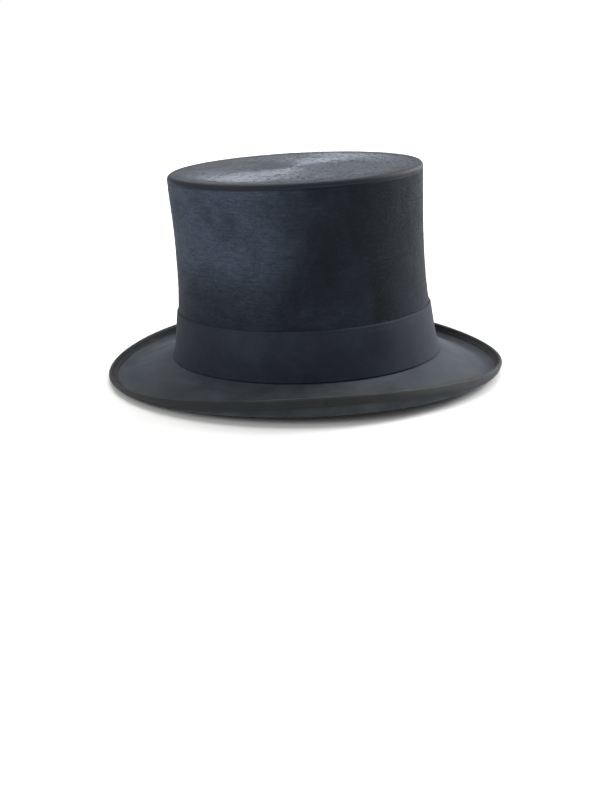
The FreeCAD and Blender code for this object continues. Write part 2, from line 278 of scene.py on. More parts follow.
def thin_sheet(name, front, back):
    """Closed thin sheet between two grids of points, with real-size texture coordinates."""
    rows, columns, _ = front.shape
    loops = np.concatenate([front, back[:, ::-1]], axis=1)
    around = 2 * columns
    length = np.concatenate([[0.0], np.cumsum(np.linalg.norm(np.diff(front, axis=0), axis=-1).mean(1))])
    width = np.concatenate([[0.0], np.cumsum(np.linalg.norm(np.diff(front, axis=1), axis=-1).mean(0))])
    width = np.concatenate([width, width[::-1]])
    faces = []
    for i in range(rows - 1):
        for k in range(around):
            m = (k + 1) % around
            faces.append((i * around + k, i * around + m, (i + 1) * around + m, (i + 1) * around + k))
    for i in (0, rows - 1):
        for k in range(columns - 1):
            faces.append((i * around + k, i * around + k + 1, i * around + around - 2 - k,
                          i * around + around - 1 - k))
    uvs = [(length[corner // around], width[corner % around]) for face in faces for corner in face]
    obj = mesh_object(name, loops.reshape(-1, 3), faces, uvs)
    fix_normals(obj)
    return obj


def unit(vectors):
    """The same directions at length one."""
    return vectors / np.linalg.norm(vectors, axis=-1, keepdims=True)


def stitches(name, centres, along, outward, length, width):
    """Row of separate stitches, each a short rounded thread that bows outwards in its middle."""
    places = np.array([-0.5, -0.34, 0.0, 0.34, 0.5])
    sizes = np.array([0.25, 0.8, 1.0, 0.8, 0.25]) * width * 0.5
    turns = np.linspace(0.0, TAU, 6, endpoint=False)
    across = unit(np.cross(along, outward))
    points = []
    faces = []
    for centre, run, out, side in zip(centres, unit(along), unit(outward), across):
        first = len(points)
        for where, radius in zip(places, sizes):
            middle = centre + run * (where * length) + out * (0.3 * width * (1.0 - 4.0 * where ** 2))
            points += [middle + radius * (math.cos(turn) * side + math.sin(turn) * out) for turn in turns]
        for ring in range(len(places) - 1):
            low = first + 6 * ring
            faces += [(low + k, low + (k + 1) % 6, low + 6 + (k + 1) % 6, low + 6 + k) for k in range(6)]
        faces.append(tuple(first + k for k in range(6)))
        faces.append(tuple(first + 6 * (len(places) - 1) + k for k in range(6)))
    obj = mesh_object(name, points, faces)
    fix_normals(obj)
    return obj


# ---------------------------------------------------------------- materials


class Nodes:
    """Small helper that builds one node material."""

    def __init__(self, name):
        self.material = bpy.data.materials.new(name)
        self.material.use_nodes = True
        self.tree = self.material.node_tree
        self.shader = self.tree.nodes["Principled BSDF"]

    def node(self, kind, **settings):
        made = self.tree.nodes.new(kind)
        for key, value in settings.items():
            if key.startswith("in_"):
                made.inputs[key[3:].replace("_", " ")].default_value = value
            else:
                setattr(made, key, value)
        return made

    def link(self, source, target):
        self.tree.links.new(source, target)
        return target

    def coordinate(self, kind="Object", scale=(1.0, 1.0, 1.0)):
        source = self.node("ShaderNodeTexCoord")
        mapping = self.node("ShaderNodeMapping")
        mapping.inputs["Scale"].default_value = scale
        self.link(source.outputs[kind], mapping.inputs["Vector"])
        return mapping.outputs["Vector"]

    def noise(self, vector, scale, detail=4.0, roughness=0.55, distortion=0.0):
        made = self.node("ShaderNodeTexNoise")
        made.inputs["Scale"].default_value = scale
        made.inputs["Detail"].default_value = detail
        made.inputs["Roughness"].default_value = roughness
        made.inputs["Distortion"].default_value = distortion
        self.link(vector, made.inputs["Vector"])
        return made.outputs["Fac"]

    def ramp(self, value, stops, linear=True):
        made = self.node("ShaderNodeValToRGB")
        ramp = made.color_ramp
        ramp.interpolation = "LINEAR" if linear else "EASE"
        while len(ramp.elements) < len(stops):
            ramp.elements.new(0.5)
        for element, (position, colour) in zip(ramp.elements, stops):
            element.position = position
            element.color = (*colour, 1.0) if len(colour) == 3 else colour
        self.link(value, made.inputs["Fac"])
        return made.outputs["Color"]

    def mix(self, factor, low, high, mode="MIX"):
        made = self.node("ShaderNodeMix", data_type="RGBA", blend_type=mode)
        for socket, value in (("Factor", factor), ("A", low), ("B", high)):
            self.feed(value, made.inputs[socket])
        return made.outputs["Result"]

    def mathematics(self, operation, *values):
        made = self.node("ShaderNodeMath", operation=operation)
        for socket, value in zip(made.inputs, values):
            self.feed(value, socket)
        return made.outputs["Value"]

    def feed(self, value, target):
        if isinstance(value, bpy.types.NodeSocket):
            self.link(value, target)
        elif isinstance(value, tuple) and len(value) == 3 and target.type == "RGBA":
            target.default_value = (*value, 1.0)
        else:
            target.default_value = value

    def bump(self, height, distance, strength=1.0, normal=None):
        made = self.node("ShaderNodeBump")
        made.inputs["Strength"].default_value = strength
        made.inputs["Distance"].default_value = distance
        self.link(height, made.inputs["Height"])
        if normal is not None:
            self.link(normal, made.inputs["Normal"])
        return made.outputs["Normal"]


def grey(value):
    return (value, value, value)


# The plush's own dark tone, kept on the tip's rounded rim outside its painted reflection.
RIM_TONE = (0.008, 0.011, 0.017)


def plush_material(name, whorl, dark, light, sheen, specular, brushing):
    """Silk plush: a blue-black pile brushed round the crown, or in a whorl on the tip, worn in patches,
    with painted light on the crown's upper rear and a painted bow-tie highlight on the tip.
    """
    m = Nodes(name)
    vector = m.coordinate("Object")
    split = m.node("ShaderNodeSeparateXYZ")
    m.link(vector, split.inputs[0])
    x = m.mathematics("ADD", split.outputs["X"], CROWN_LEAN)
    y = m.mathematics("DIVIDE", split.outputs["Y"], OVAL_RATIO)
    turn = m.mathematics("ARCTAN2", y, x)
    brushed = m.node("ShaderNodeCombineXYZ")
    patches = m.noise(vector, 24.0, 6.0, 0.65, 0.5)
    if whorl:
        away_squared = m.mathematics("MULTIPLY_ADD", x, x, m.mathematics("MULTIPLY", y, y))
        away = m.mathematics("SQRT", away_squared)
        m.link(m.mathematics("MULTIPLY", away, 700.0), brushed.inputs["X"])
        m.link(m.mathematics("MULTIPLY_ADD", away, 45.0, m.mathematics("MULTIPLY", turn, 3.0)),
               brushed.inputs["Y"])
        # painted sheen: two bright wedges run out from the tip's middle, a painted bow-tie highlight of the
        # whorled pile, broken up by the wear patches and faded out towards the rim
        painted_sheen_angle = m.mathematics("MULTIPLY_ADD", away, 9.0, m.mathematics("MULTIPLY_ADD", turn, 2.0, -2.1))
        painted_sheen_wedge = m.mathematics("MULTIPLY_ADD", m.mathematics("COSINE", painted_sheen_angle), 0.5, 0.5)
        rim = m.node("ShaderNodeMapRange", interpolation_type="SMOOTHSTEP", in_From_Min=0.096,
                     in_From_Max=0.074)
        m.link(away, rim.inputs["Value"])
        wear = m.mathematics("MULTIPLY", m.mathematics("POWER", painted_sheen_wedge, 3.0), patches)
        wear = m.mathematics("MULTIPLY", wear, rim.outputs["Result"])
    else:
        m.link(m.mathematics("MULTIPLY", turn, 9.0), brushed.inputs["X"])
        m.link(m.mathematics("MULTIPLY", split.outputs["Z"], 620.0), brushed.inputs["Y"])
        # painted light: the crown's upper rear, where the key light falls, is painted paler, in mottled
        # worn patches
        painted_light_rear = m.node("ShaderNodeMapRange", interpolation_type="SMOOTHSTEP", in_From_Min=0.0,
                      in_From_Max=-0.075)
        m.link(split.outputs["X"], painted_light_rear.inputs["Value"])
        high = m.node("ShaderNodeMapRange", interpolation_type="SMOOTHSTEP", in_From_Min=0.045,
                      in_From_Max=0.12)
        m.link(split.outputs["Z"], high.inputs["Value"])
        wear = m.mathematics("MULTIPLY",
                             m.mathematics("MULTIPLY", painted_light_rear.outputs["Result"], high.outputs["Result"]),
                             patches)
    streak = m.noise(brushed.outputs[0], 1.0, 4.0, 0.6, 0.4)
    speck = m.noise(vector, 900.0, 2.0, 0.5)
    # the wear patches and the painted light above lift the plush from its dark colour towards its light one
    painted_light_and_wear = m.mathematics("MULTIPLY_ADD", wear, 0.95, m.mathematics("MULTIPLY", patches, 0.50))
    base = m.ramp(painted_light_and_wear, [(0.20, dark), (0.75, light)])
    if whorl:
        # the tip's rim keeps the plush's own dark tone; its middle takes the paler colours of the painted
        # reflection
        base = m.mix(rim.outputs["Result"], RIM_TONE, base)
    colour = m.mix(1.0, base, m.ramp(streak, [(0.3, grey(0.74)), (0.7, grey(1.26))]), "MULTIPLY")
    colour = m.mix(1.0, colour, m.ramp(speck, [(0.3, grey(0.75)), (0.7, grey(1.25))]), "MULTIPLY")
    m.link(colour, m.shader.inputs["Base Color"])
    m.link(m.ramp(streak, [(0.2, grey(0.52)), (0.8, grey(0.66))]), m.shader.inputs["Roughness"])
    m.shader.inputs["Specular IOR Level"].default_value = specular
    m.shader.inputs["Anisotropic"].default_value = brushing
    m.shader.inputs["Sheen Weight"].default_value = sheen
    m.shader.inputs["Sheen Roughness"].default_value = 0.35
    m.shader.inputs["Sheen Tint"].default_value = (0.66, 0.76, 0.90, 1.0)
    tangent = m.node("ShaderNodeTangent", direction_type="RADIAL", axis="Z")
    m.link(tangent.outputs[0], m.shader.inputs["Tangent"])
    height = m.mathematics("MULTIPLY_ADD", speck, 0.5, streak)
    soft = m.bump(patches, 1.2 * MM, 0.5)
    m.link(m.bump(height, 0.18 * MM, 0.8, soft), m.shader.inputs["Normal"])
    return m.material


def cloth_material(name, dark, light, sheen, thread=0.45 * MM, patch_scale=30.0, rough=(0.75, 0.9)):
    """Matt cloth with a fine felted weave and uneven fading."""
    m = Nodes(name)
    vector = m.coordinate("Object")
    patches = m.noise(vector, patch_scale, 5.0, 0.6, 0.5)
    fibre = m.noise(vector, 1.0 / thread, 3.0, 0.6)
    base = m.ramp(patches, [(0.3, dark), (0.75, light)])
    colour = m.mix(1.0, base, m.ramp(fibre, [(0.3, grey(0.72)), (0.7, grey(1.28))]), "MULTIPLY")
    m.link(colour, m.shader.inputs["Base Color"])
    m.link(m.ramp(fibre, [(0.2, grey(rough[0])), (0.8, grey(rough[1]))]), m.shader.inputs["Roughness"])
    m.shader.inputs["Specular IOR Level"].default_value = 0.3
    m.shader.inputs["Sheen Weight"].default_value = sheen
    m.shader.inputs["Sheen Roughness"].default_value = 0.45
    m.shader.inputs["Sheen Tint"].default_value = (0.70, 0.78, 0.90, 1.0)
    soft = m.bump(patches, 0.8 * MM, 0.4)
    m.link(m.bump(fibre, 0.15 * MM, 0.8, soft), m.shader.inputs["Normal"])
    return m.material


def ribbon_material(name, dark, light, worn, pitch=0.9 * MM):
    """Ribbed ribbon: cords run across its width, a fine warp crosses them, the grooves between the cords
    are painted darker and the cords paler as painted shade, and the high spots are faded.
    """
    m = Nodes(name)
    uv = m.coordinate("UV")
    split = m.node("ShaderNodeSeparateXYZ")
    m.link(uv, split.inputs[0])
    rib = m.mathematics("SINE", m.mathematics("MULTIPLY", split.outputs["X"], TAU / pitch))
    warp = m.mathematics("SINE", m.mathematics("MULTIPLY", split.outputs["Y"], TAU / (0.35 * MM)))
    vector = m.coordinate("Object")
    wear = m.noise(vector, 60.0, 6.0, 0.65, 0.8)
    fine = m.noise(vector, 1500.0, 2.0)
    base = m.ramp(wear, [(0.35, dark), (0.60, light), (0.75, worn)])
    # painted shade: darker in the grooves between the cords, paler on their crests
    rib_painted_shade = m.ramp(m.mathematics("MULTIPLY_ADD", rib, 0.5, 0.5), [(0.0, grey(0.55)), (1.0, grey(1.25))])
    colour = m.mix(1.0, base, rib_painted_shade, "MULTIPLY")
    colour = m.mix(1.0, colour, m.ramp(fine, [(0.3, grey(0.8)), (0.7, grey(1.2))]), "MULTIPLY")
    m.link(colour, m.shader.inputs["Base Color"])
    m.shader.inputs["Roughness"].default_value = 0.62
    m.shader.inputs["Specular IOR Level"].default_value = 0.35
    m.shader.inputs["Sheen Weight"].default_value = 0.04
    height = m.mathematics("ADD", rib, m.mathematics("MULTIPLY", warp, 0.25))
    m.link(m.bump(height, 0.12 * MM, 0.9), m.shader.inputs["Normal"])
    return m.material


def leather_material(name):
    """Tan sweatband leather: fine pores, soft creases and darker stains from wear."""
    m = Nodes(name)
    vector = m.coordinate("Object")
    stain = m.noise(vector, 22.0, 5.0, 0.6, 1.2)
    cells = m.node("ShaderNodeTexVoronoi", feature="DISTANCE_TO_EDGE")
    cells.inputs["Scale"].default_value = 750.0
    m.link(vector, cells.inputs["Vector"])
    crease = m.noise(vector, 120.0, 6.0, 0.7, 1.5)
    base = m.ramp(stain,
                  [(0.28, (0.12, 0.055, 0.022)), (0.55, (0.27, 0.14, 0.062)), (0.8, (0.38, 0.22, 0.11))])
    colour = m.mix(1.0, base, m.ramp(crease, [(0.3, grey(0.75)), (0.7, grey(1.15))]), "MULTIPLY")
    m.link(colour, m.shader.inputs["Base Color"])
    m.link(m.ramp(stain, [(0.2, grey(0.38)), (0.8, grey(0.55))]), m.shader.inputs["Roughness"])
    m.shader.inputs["Specular IOR Level"].default_value = 0.45
    edge = m.mathematics("MINIMUM", cells.outputs["Distance"], 0.12)
    soft = m.bump(crease, 0.5 * MM, 0.5)
    m.link(m.bump(edge, 0.5 * MM, 0.6, soft), m.shader.inputs["Normal"])
    return m.material


def satin_material(name):
    """Cream satin lining with a fine thread direction and faint foxing."""
    m = Nodes(name)
    vector = m.coordinate("Object")
    foxing = m.noise(vector, 34.0, 6.0, 0.65, 0.6)
    thread = m.noise(m.coordinate("Object", (1.0, 1.0, 0.06)), 2200.0, 2.0)
    base = m.ramp(foxing,
                  [(0.30, (0.62, 0.55, 0.41)), (0.62, (0.74, 0.68, 0.54)), (0.80, (0.52, 0.41, 0.26))])
    colour = m.mix(1.0, base, m.ramp(thread, [(0.3, grey(0.90)), (0.7, grey(1.06))]), "MULTIPLY")
    m.link(colour, m.shader.inputs["Base Color"])
    m.shader.inputs["Roughness"].default_value = 0.34
    m.shader.inputs["Anisotropic"].default_value = 0.6
    m.shader.inputs["Specular IOR Level"].default_value = 0.5
    m.shader.inputs["Sheen Weight"].default_value = 0.2
    m.link(m.bump(thread, 0.06 * MM, 0.5), m.shader.inputs["Normal"])
    return m.material


def plain_fibre_material(name, dark, light, rough, scale, depth):
    """Coarse cloth, card, cane or thread, told apart by scale, depth and colour."""
    m = Nodes(name)
    vector = m.coordinate("Object")
    grain = m.noise(vector, scale, 5.0, 0.65, 0.4)
    broad = m.noise(vector, scale * 0.05, 4.0, 0.6)
    base = m.ramp(broad, [(0.3, dark), (0.7, light)])
    colour = m.mix(1.0, base, m.ramp(grain, [(0.3, grey(0.78)), (0.7, grey(1.18))]), "MULTIPLY")
    m.link(colour, m.shader.inputs["Base Color"])
    m.link(m.ramp(grain, [(0.2, grey(rough - 0.08)), (0.8, grey(rough + 0.08))]),
           m.shader.inputs["Roughness"])
    m.link(m.bump(grain, depth, 0.8), m.shader.inputs["Normal"])
    return m.material


side_plush_look = plush_material("side_plush", False, (0.004, 0.006, 0.010), (0.034, 0.047, 0.069),
                                 0.03, 0.12, 0.6)
# The tip's colours are painted far paler than the side's: a painted reflection of the bright surroundings
# on the grazing tip plane.
tip_plush_painted_reflection_look = plush_material("tip_plush", True, (0.016, 0.022, 0.031), (0.16, 0.18, 0.21), 0.10,
                                0.20, 0.3)
nap_look = plain_fibre_material("nap_fibre", (0.005, 0.007, 0.012), (0.018, 0.024, 0.034), 0.7, 900.0,
                                0.02 * MM)
band_look = cloth_material("band_cloth", (0.006, 0.009, 0.015), (0.018, 0.025, 0.037), 0.04)
brim_look = cloth_material("brim_cloth", (0.010, 0.014, 0.020), (0.038, 0.046, 0.057), 0.13, 0.35 * MM,
                           30.0)
bow_look = ribbon_material("bow_ribbon", (0.006, 0.008, 0.012), (0.011, 0.013, 0.018),
                           (0.020, 0.023, 0.028))
binding_look = ribbon_material("binding_ribbon", (0.006, 0.008, 0.011), (0.011, 0.013, 0.016),
                               (0.034, 0.033, 0.031),
                               0.6 * MM)
leather_look = leather_material("sweat_leather")
satin_look = satin_material("lining_satin")
gossamer_look = plain_fibre_material("gossamer", (0.20, 0.12, 0.05), (0.36, 0.24, 0.12), 0.55, 1400.0,
                                     0.15 * MM)
card_look = plain_fibre_material("ticket_card", (0.62, 0.54, 0.40), (0.76, 0.69, 0.54), 0.85, 2600.0,
                                 0.03 * MM)
thread_look = plain_fibre_material("dark_thread", (0.012, 0.012, 0.014), (0.03, 0.03, 0.034), 0.6,
                                   3000.0, 0.05 * MM)
buff_thread_look = plain_fibre_material("leather_thread", (0.42, 0.32, 0.19), (0.60, 0.48, 0.32), 0.6,
                                        3000.0, 0.05 * MM)
cane_look = plain_fibre_material("reed_cane", (0.34, 0.24, 0.12), (0.52, 0.40, 0.23), 0.5, 1800.0,
                                 0.05 * MM)
oilcloth_look = plain_fibre_material("reed_oilcloth", (0.11, 0.06, 0.03), (0.22, 0.13, 0.06), 0.35,
                                     1600.0, 0.06 * MM)

# ---------------------------------------------------------------- crown

AROUND = 480


def uneven(angle, share):
    """Soft closed unevenness of the crown, from 0 to 1."""
    waves = (0.45 * np.sin(2 * angle + 6.0 * share + 0.7) + 0.30 * np.sin(3 * angle - 9.0 * share + 2.1)
             + 0.25 * np.sin(5 * angle + 14.0 * share + 4.0))
    return 0.5 + 0.5 * waves


def band_stand(share):
    """How far the band's outer face stands off the plush."""
    return BAND + GAP + BAND_FLARE * np.clip(1.0 - 2.2 * share / BAND_SHARE, 0.0, 1.0) ** 2


def crown_wall(name, shares, lift, outside, inside):
    """Thin closed wall of the crown; outside and inside are insets from the plush at each point."""
    angle = angles_round(AROUND)[None, :]
    outer = crown_point(angle, shares[:, None], outside, lift)
    inner = crown_point(angle, shares[:, None], inside, lift)
    return ring_mesh(name, np.concatenate([outer, inner[::-1]]))


RIM_RADIUS = 3.2 * MM
TIP_SKIRT = RIM_RADIUS + 1.0 * MM
ROUND = angles_round(AROUND)[None, :]


def side_cover():
    """Plush of the side, gently dented, with the slanting seam where its ends meet at the back."""
    shares = np.linspace(-0.004, 1.0, 96)
    lift = -(TIP_SKIRT + 0.05 * MM) * np.clip(shares, 0.0, 1.0)[:, None]
    calm = 1.0 - np.clip(shares, 0.0, 1.0)[:, None] ** 8
    seam = np.exp(-((ROUND - 3.62 - 0.34 * shares[:, None]) / 0.011) ** 2)
    proud = (0.40 * MM * uneven(ROUND, shares[:, None]) - 0.35 * MM * seam) * calm
    return crown_wall("side_plush_cover", shares, lift, -proud, PLUSH)


side_plush = place(side_cover(), side_plush_look, "plush", "side_plush")


def tip_disc(name, inset, depth, thick, rim, whorl_relief=0.0):
    """Oval plate under the tip plane with a rounded rim that turns down the side."""
    angle = angles_round(AROUND)[None, :]
    shares = np.concatenate([[0.0], np.linspace(0.02, 1.0, 60)])
    reach = 1.0 - rim / HALF_LENGTHS[-1]
    rows = []
    for share in shares:
        point = crown_point(angle, 1.0, inset, -depth)
        middle = point.mean(axis=1, keepdims=True)
        swirl = whorl_relief * np.sin(angle + share * 9.0) * share * (1 - share)
        flat = middle + (point - middle) * (share * reach)
        flat[..., 2] += swirl
        rows.append(flat[0])
    for turn in np.linspace(0.2, 1.0, 7):
        bend = turn * math.pi / 2
        tuck = rim * (1 - math.sin(bend))
        fall = rim * (1 - math.cos(bend))
        rows.append(crown_point(angle, 1.0, inset + tuck, -depth - fall)[0])
    skirt = crown_point(angle, 1.0, inset, -depth - TIP_SKIRT)
    rows.append(skirt[0])
    rows.append(crown_point(angle, 1.0, inset + thick, -depth - TIP_SKIRT)[0])
    rows.append(crown_point(angle, 1.0, inset + thick, -depth - rim)[0])
    for share in np.linspace(0.97, 0.0, 16):
        point = crown_point(angle, 1.0, inset + thick, -depth - thick)
        middle = point.mean(axis=1, keepdims=True)
        rows.append((middle + (point - middle) * share)[0])
    return disc_mesh(name, rows)


tip = tip_disc("tip_plush_cover", 0.0, 0.0, PLUSH, RIM_RADIUS, 0.5 * MM)
place(tip, tip_plush_painted_reflection_look, "plush", "tip_plush")


def band_cover():
    """Cloth band with a turned hem along its top and a lower edge that spreads onto the brim."""
    shares = np.linspace(0.0015, BAND_SHARE, 64)
    across = shares[:, None] / BAND_SHARE
    hem = 0.22 * MM * np.exp(-((across - 0.93) / 0.025) ** 2)
    rounding = 0.9 * MM * np.clip((across - 0.955) / 0.045, 0.0, 1.0) ** 2
    dents = 0.2 * MM * uneven(ROUND, 4.0 * shares[:, None])
    outside = -band_stand(shares)[:, None] + hem + rounding + dents
    inside = -GAP - BAND_FLARE * np.clip(1.0 - 2.2 * across, 0.0, 1.0) ** 2
    return crown_wall("hat_band_cloth", shares, 0.0, outside, inside)


band = place(band_cover(), band_look, "band_cloth", "hat_band")


def nap(name, count, seed, root_point, brushed, length, look):
    """Loose ends of the pile: fine tapered hairs that lie as brushed and lift at their tips."""
    draw = np.random.default_rng(seed)
    first = draw.random(count)
    second = draw.random(count)
    size = length * draw.uniform(0.6, 1.2, count)[:, None]
    root, out = root_point(first, second)
    run = unit(brushed(first) + 0.22 * draw.normal(size=(count, 3)))
    run = unit(run - out * (run * out).sum(-1, keepdims=True))
    side = np.cross(run, out) * (0.05 * MM)
    ridge = out * (0.07 * MM)
    middle = root + run * (0.55 * size) + out * (draw.uniform(0.10, 0.22, count)[:, None] * MM)
    end = root + run * size + out * (draw.uniform(0.18, 0.55, count)[:, None] * MM)
    foot = [root - side, root + side, root + ridge]
    waist = [middle - 0.7 * side, middle + 0.7 * side, middle + 0.7 * ridge]
    points = np.stack(foot + waist + [end], axis=1)
    pattern = [(0, 2, 1), (0, 1, 4, 3), (1, 2, 5, 4), (2, 0, 3, 5), (3, 4, 6), (4, 5, 6), (5, 3, 6)]
    faces = [tuple(7 * hair + corner for corner in face) for hair in range(count) for face in pattern]
    obj = mesh_object(name, points.reshape(-1, 3), faces)
    fix_normals(obj)
    return place(obj, look, "plush")


def side_root(first, second):
    """Root of a hair on the side and the direction out of the plush there."""
    angle = TAU * first
    share = 0.27 + 0.69 * second
    root = crown_point(angle, share, -0.15 * MM, -TIP_SKIRT * share)
    out = np.stack([OVAL_RATIO * np.cos(angle), np.sin(angle), np.zeros_like(angle)], axis=-1)
    return root, unit(out)


def side_brushed(first):
    """Brushed direction round the side, slightly downwards."""
    angle = TAU * first
    return np.stack([-np.sin(angle), OVAL_RATIO * np.cos(angle), np.full_like(angle, -0.12)], axis=-1)


def tip_root(first, second):
    """Root of a hair on the tip and the direction out of the plush there."""
    rim = crown_point(TAU * first, 1.0, RIM_RADIUS, 0.1 * MM)
    middle = np.array([-CROWN_LEAN, 0.0, BASE_LEVEL + CROWN_RISE + 0.1 * MM])
    root = middle + (rim - middle) * np.sqrt(second)[:, None]
    lean = math.radians(TIP_TILT)
    return root, np.broadcast_to(np.array([-math.sin(lean), 0.0, math.cos(lean)]), root.shape)


def tip_brushed(first):
    """Whorl of the tip: round its middle and a little outwards."""
    angle = TAU * first + 0.35
    return np.stack([-np.sin(angle), OVAL_RATIO * np.cos(angle), np.zeros_like(angle)], axis=-1)


nap("side_plush_nap", 10000, 11, side_root, side_brushed, 4.0 * MM, nap_look)
nap("tip_plush_nap", 4000, 12, tip_root, tip_brushed, 3.6 * MM, nap_look)

# ---------------------------------------------------------------- brim

BRIM_AROUND = 360


def brim_length(angle):
    """Length of the board's middle line at each angle."""
    out, level = brim_poles(angle)[:2]
    return np.hypot(np.diff(out @ PATH_BASIS.T, axis=-1), np.diff(level @ PATH_BASIS.T, axis=-1)).sum(-1)


def brim_sheet(name, first, end, low, high, count):
    """Closed layer of the brim from a distance out to a distance short of the edge, between two offsets."""
    angle = angles_round(BRIM_AROUND)[None, :]
    share = np.linspace(0.0, 1.0, count)[:, None]
    distance = first + (brim_length(angle) - end - first) * share
    upper = brim_point(angle, distance, high)
    lower = brim_point(angle, distance, low)
    return ring_mesh(name, np.concatenate([upper, lower[::-1]]))


HALF_BOARD = 0.5 * BOARD
COVER_LOW = HALF_BOARD + GAP
COVER_HIGH = HALF_BOARD + COVER
COVER_END = 0.4 * MM
UPPER_COVER_START = 2.9 * MM
STITCH_LINE = 1.5 * MM
upper_cover = place(brim_sheet("brim_upper_cover", UPPER_COVER_START, COVER_END, COVER_LOW, COVER_HIGH, 70),
                    brim_look,
                    "brim_cloth", "brim_top_cover")
lower_cover = place(brim_sheet("brim_lower_cover", 0.0, COVER_END, -COVER_HIGH, -COVER_LOW, 70), brim_look,
                    "brim_cloth", "brim_under_cover")


def binding_ribbon():
    """Ribbon folded over the edge of the brim."""
    angle = angles_round(BRIM_AROUND * 2)[None, :]
    run = (brim_length(angle) - BINDING_REACH * np.linspace(1.0, 0.0, 10)[:, None])
    inner = COVER_HIGH + GAP
    lines = []
    for distance in (inner + BINDING, inner):
        outside = brim_point(angle, run, -distance)
        inside = brim_point(angle, run[::-1], distance)
        middle = 0.5 * (outside[-1] + inside[0])
        normal = 0.5 * (inside[0] - outside[-1])
        ahead = middle - brim_point(angle, run[-1] - 0.2 * MM, 0.0)[0]
        ahead = ahead / np.linalg.norm(ahead, axis=-1, keepdims=True)
        turns = math.pi * np.linspace(0.0, 1.0, 9)[1:-1, None, None]
        crest = middle - normal * np.cos(turns) + ahead * (distance * np.sin(turns))
        lines.append(np.concatenate([outside, crest, inside]))
    return ring_mesh("brim_binding", np.concatenate([lines[0], lines[1][::-1]]))


binding = place(binding_ribbon(), binding_look, "binding_ribbon", "brim_edge_binding")


def binding_stitches():
    """Stitches that hold the binding, one row on each face of the brim."""
    count = 300
    angle = angles_round(count)
    ahead = angle + 0.5 * TAU / count
    run = brim_length(angle) - BINDING_REACH + STITCH_LINE
    centres = []
    along = []
    outward = []
    for face in (1, -1):
        level = face * (COVER_HIGH + GAP + BINDING + 0.02 * MM)
        here = brim_point(angle, run, level)
        centres.append(here)
        along.append(brim_point(ahead, brim_length(ahead) - BINDING_REACH + STITCH_LINE, level) - here)
        outward.append(brim_point(angle, run, level + face * MM) - here)
    return stitches("binding_stitches", np.concatenate(centres), np.concatenate(along),
                    np.concatenate(outward),
                    2.1 * MM, 0.22 * MM)


place(binding_stitches(), thread_look, "dark_thread", "binding_stitching")

# ---------------------------------------------------------------- ribbon bows

BOW_LEVEL = 35.37 * MM
BOW_MIDDLE = -2.0 * MM
BOW_HALF_LENGTH = 34.0 * MM
BOW_HALF_HEIGHT = 13.5 * MM
BOW_RIBBON = 0.35 * MM
KNOT_HALF_LENGTH = 6.0 * MM
KNOT_HALF_HEIGHT = 15.0 * MM
INNER_BOW_LEVEL = 30.9 * MM
INNER_BOW_HALF_LENGTH = 13.0 * MM
INNER_BOW_HALF_HEIGHT = 5.0 * MM
INNER_RIBBON = 0.25 * MM
INNER_KNOT_HALF_LENGTH = 2.6 * MM
INNER_KNOT_HALF_HEIGHT = 5.4 * MM


def over_band(along, rise, out):
    """Point over the band on the wearer's left: along from the bow's middle, up from it, and out."""
    share = (BOW_LEVEL + rise - BASE_LEVEL) / CROWN_RISE
    stand = band_stand(share) + GAP + out
    place_x = BOW_MIDDLE + along + CROWN_LEAN * share
    return crown_point(np.arccos(place_x / (half_length(share) + stand)), share, -stand)


def inside_back(along, rise, out):
    """Point inside the sweatband's back: along from the bow's middle, up from it, and headwards."""
    share = (INNER_BOW_LEVEL + rise - BASE_LEVEL) / CROWN_RISE
    inset = SWEAT_INSET + LEATHER + GAP + out
    half_width = half_length(share) * OVAL_RATIO - inset
    return crown_point(math.pi - np.arcsin(along / half_width), share, inset)


def folded_strip(name, where, path, half_heights, thick, ripple=0.0):
    """Ribbon that follows a path of (along, out) places on the hat, with its own half height at each."""
    path = np.asarray(path)
    run = unit(np.gradient(path, axis=0))
    normal = np.stack([-run[:, 1], run[:, 0]], axis=-1)
    across = np.linspace(-1.0, 1.0, 25)[None, :]
    rise = np.asarray(half_heights)[:, None] * across
    pinch = np.exp(-np.abs(path[:, 0]) / (0.35 * np.abs(path[:, 0]).max()))[:, None]
    folds = ripple * pinch * np.sin(across * 8.0 + 0.6)
    faces = []
    for shift in (0.5 * thick, -0.5 * thick):
        along = path[:, :1] + shift * normal[:, :1]
        out = path[:, 1:] + shift * normal[:, 1:] + folds + ripple
        faces.append(where(along, rise, out))
    return thin_sheet(name, faces[0], faces[1])


def bow_loop(name, where, reach, half_height, depth, thick, ripple):
    """One flat loop of a bow: out along the hat, round its fold and back to the knot."""
    steps = np.linspace(0.0, 1.0, 26)
    side = math.copysign(1.0, reach)
    length = abs(reach) - 0.5 * depth - thick
    low = 0.5 * thick
    turns = np.linspace(-0.5, 0.5, 9)[1:-1] * math.pi
    under = np.stack([side * length * steps, np.full_like(steps, low)], axis=-1)
    fold = np.stack([side * (length + 0.5 * depth * np.cos(turns)),
                     low + 0.5 * depth * (1 + np.sin(turns))],
                    axis=-1)
    puff = 0.45 * depth * np.sin(math.pi * steps[::-1])
    over = np.stack([side * length * steps[::-1], low + depth + puff], axis=-1)
    path = np.concatenate([under, fold, over])
    ease = np.clip(np.abs(path[:, 0]) / (0.5 * abs(reach)), 0.0, 1.0)
    half_heights = half_height * (0.78 + 0.22 * ease ** 2 * (3 - 2 * ease))
    return folded_strip(name, where, path, half_heights, thick, ripple)


def bow_knot(name, where, half_length_along, half_height, stand, thick):
    """Crosswise ribbon that holds the loops, tucked in above and below them, with soft lengthwise folds."""
    rise = half_height * np.linspace(-1.0, 1.0, 41)[:, None]
    along = half_length_along * np.linspace(-1.0, 1.0, 21)[None, :]
    barrel = (1.0 - np.abs(rise / half_height) ** 6) * stand
    folds = 0.12 * stand * np.sin(9.0 * along / half_length_along + 1.0)
    out = barrel + folds * (1.0 - np.abs(rise / half_height) ** 4) + thick
    front = where(along, rise, out)
    back = where(along, rise, out - thick)
    return thin_sheet(name, front, back)


